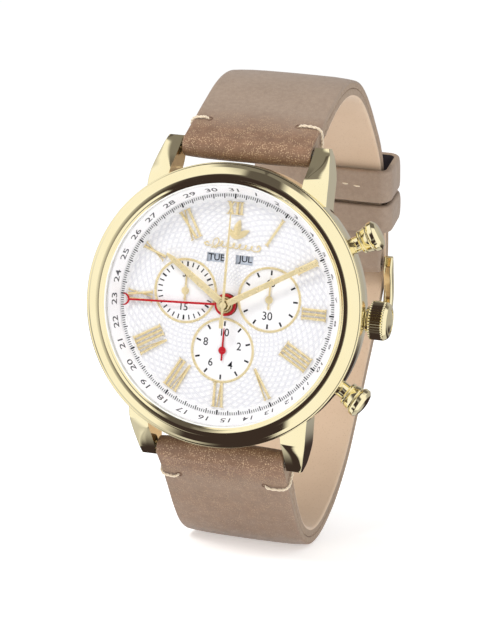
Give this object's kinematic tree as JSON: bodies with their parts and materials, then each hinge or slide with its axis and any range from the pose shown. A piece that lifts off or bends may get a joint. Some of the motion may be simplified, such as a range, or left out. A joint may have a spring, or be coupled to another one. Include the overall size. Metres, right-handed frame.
{
  "type": "chronograph wristwatch",
  "caption": "Round polished-gold chronograph wristwatch with white guilloche dial, calendar windows, pointer date, crown, pushers and a buckled leather strap.",
  "frame": {"origin": "centre of the case back's flat outer face, where the watch rests on the wrist", "axes": "+Z to 12 o'clock, +X to 3 o'clock and the crown, -Y out of the dial towards the wearer's eye"},
  "size_m": [0.0458, 0.0668, 0.0736],
  "materials": {
    "polished_gold": "mirror polished yellow gold plating",
    "dial_gold": "polished gold-plated dial furniture",
    "red_enamel": "gloss red lacquer",
    "movement_brass": "fine brushed",
    "steel": "fine brushed",
    "crystal_glass": "clear polished mineral glass",
    "rubber_seal": "matt black",
    "dial_white": "satin white, guilloche pattern on the dial's middle",
    "calendar_disc": "matt pale grey",
    "white_plastic": "moulded, matt",
    "circuit_green": "solder mask",
    "copper_wire": "enamelled wire winding",
    "strap_leather": "distressed taupe-brown calf with tan lining"
  },
  "bodies": {
    "case": {"mid_case": "polished_gold", "bezel": "polished_gold", "crystal": "crystal_glass", "crystal_gasket": "rubber_seal", "case_back": "polished_gold", "case_back_gasket": "rubber_seal", "dial": "dial_white", "date_flange": "dial_white", "hour_marker_01": "dial_gold", "hour_marker_02": "dial_gold", "hour_marker_03": "dial_gold", "hour_marker_04": "dial_gold", "hour_marker_05": "dial_gold", "hour_marker_06": "dial_gold", "hour_marker_07": "dial_gold", "hour_marker_08": "dial_gold", "hour_marker_09": "dial_gold", "hour_marker_10": "dial_gold", "hour_marker_11": "dial_gold", "hour_marker_12": "dial_gold", "main_plate": "movement_brass", "movement_ring": "white_plastic", "battery": "steel", "circuit_board": "circuit_green", "stepper_coil": "copper_wire", "train_bridge": "steel", "crown_tube": "steel", "start_pusher_tube": "steel", "reset_pusher_tube": "steel", "start_pusher_spring": "steel", "reset_pusher_spring": "steel", "spring_bar_top": "steel", "spring_bar_bottom": "steel", "strap_upper": "strap_leather", "strap_lower": "strap_leather", "fixed_keeper": "strap_leather", "buckle_bar": "steel"},
    "minute": {"minute_hand": "dial_gold", "cannon_pinion": "movement_brass"},
    "minute_wheel": {"minute_wheel": "movement_brass"},
    "hour": {"hour_hand": "dial_gold", "hour_wheel": "movement_brass"},
    "chrono_seconds": {"chrono_seconds_hand": "dial_gold"},
    "minute_counter": {"minute_counter_hand": "dial_gold"},
    "tenth_counter": {"tenth_counter_hand": "red_enamel"},
    "running_seconds": {"running_seconds_hand": "dial_gold"},
    "date": {"date_hand": "red_enamel", "date_wheel": "movement_brass"},
    "day": {"day_disc": "calendar_disc"},
    "month": {"month_disc": "calendar_disc"},
    "setting": {"setting_lever": "steel"},
    "crown": {"crown": "polished_gold", "winding_stem": "steel", "crown_gasket": "rubber_seal"},
    "start_pusher": {"start_pusher": "polished_gold"},
    "reset_pusher": {"reset_pusher": "polished_gold"},
    "buckle": {"buckle_frame": "polished_gold"},
    "tongue": {"buckle_tongue": "polished_gold"},
    "sliding_keeper": {"sliding_keeper": "strap_leather"}
  },
  "joints": [
    {"name": "minute_hand_turn", "type": "hinge", "parent": "case", "child": "minute", "pos_m": [0, -0.0075, 0], "axis": [0, 1, 0], "continuous": true},
    {"name": "minute_wheel_turn", "type": "hinge", "parent": "case", "child": "minute_wheel", "pos_m": [-0.00255, -0.0075, -0.00255], "axis": [0, 1, 0], "continuous": true},
    {"name": "hour_hand_turn", "type": "hinge", "parent": "case", "child": "hour", "pos_m": [0, -0.0075, 0], "axis": [0, 1, 0], "continuous": true},
    {"name": "chrono_seconds_turn", "type": "hinge", "parent": "case", "child": "chrono_seconds", "pos_m": [0, -0.0075, 0], "axis": [0, 1, 0], "continuous": true},
    {"name": "minute_counter_turn", "type": "hinge", "parent": "case", "child": "minute_counter", "pos_m": [-0.00645, -0.0075, 0.0014], "axis": [0, 1, 0], "continuous": true},
    {"name": "tenth_counter_turn", "type": "hinge", "parent": "case", "child": "tenth_counter", "pos_m": [0, -0.0075, -0.0068], "axis": [0, 1, 0], "continuous": true},
    {"name": "running_seconds_turn", "type": "hinge", "parent": "case", "child": "running_seconds", "pos_m": [0.00645, -0.0075, 0.0014], "axis": [0, 1, 0], "continuous": true},
    {"name": "date_hand_turn", "type": "hinge", "parent": "case", "child": "date", "pos_m": [0, -0.0075, 0], "axis": [0, 1, 0], "continuous": true},
    {"name": "day_disc_turn", "type": "hinge", "parent": "case", "child": "day", "pos_m": [-0.0056, -0.0075, 0.00678], "axis": [0, 1, 0], "continuous": true},
    {"name": "month_disc_turn", "type": "hinge", "parent": "case", "child": "month", "pos_m": [0.00543, -0.0075, 0.00678], "axis": [0, 1, 0], "continuous": true},
    {"name": "crown_pull", "type": "slide", "parent": "case", "child": "setting", "axis": [1, 0, 0], "range_m": [0, 0.0006]},
    {"name": "crown_turn", "type": "hinge", "parent": "setting", "child": "crown", "pos_m": [0.02, -0.0055, 0], "axis": [1, 0, 0], "continuous": true},
    {"name": "start_pusher_press", "type": "slide", "parent": "case", "child": "start_pusher", "axis": [-0.8634, 0, -0.5045], "range_m": [0, 0.0007], "stiffness_N_per_m": 1500, "springref_m": -0.0005, "deforming": ["start_pusher_spring"]},
    {"name": "reset_pusher_press", "type": "slide", "parent": "case", "child": "reset_pusher", "axis": [-0.8634, 0, 0.5045], "range_m": [0, 0.0007], "stiffness_N_per_m": 1500, "springref_m": -0.0005, "deforming": ["reset_pusher_spring"]},
    {"name": "buckle_swing", "type": "hinge", "parent": "case", "child": "buckle", "pos_m": [0, 0.0501, 0.0046], "axis": [1, 0, 0], "range_deg": [0, 6]},
    {"name": "tongue_swing", "type": "hinge", "parent": "buckle", "child": "tongue", "pos_m": [0, 0.0501, 0.0046], "axis": [1, 0, 0], "range_deg": [0, 8]},
    {"name": "keeper_slide", "type": "slide", "parent": "case", "child": "sliding_keeper", "axis": [0, 0.3502, -0.9367], "range_m": [0, 0.0028]}
  ],
  "couplings": [
    {"joint": "minute_wheel_turn", "follows": "minute_hand_turn", "ratio": -0.33333},
    {"joint": "hour_hand_turn", "follows": "minute_hand_turn", "ratio": 0.083333},
    {"joint": "minute_counter_turn", "follows": "chrono_seconds_turn", "ratio": 0.033333}
  ]
}
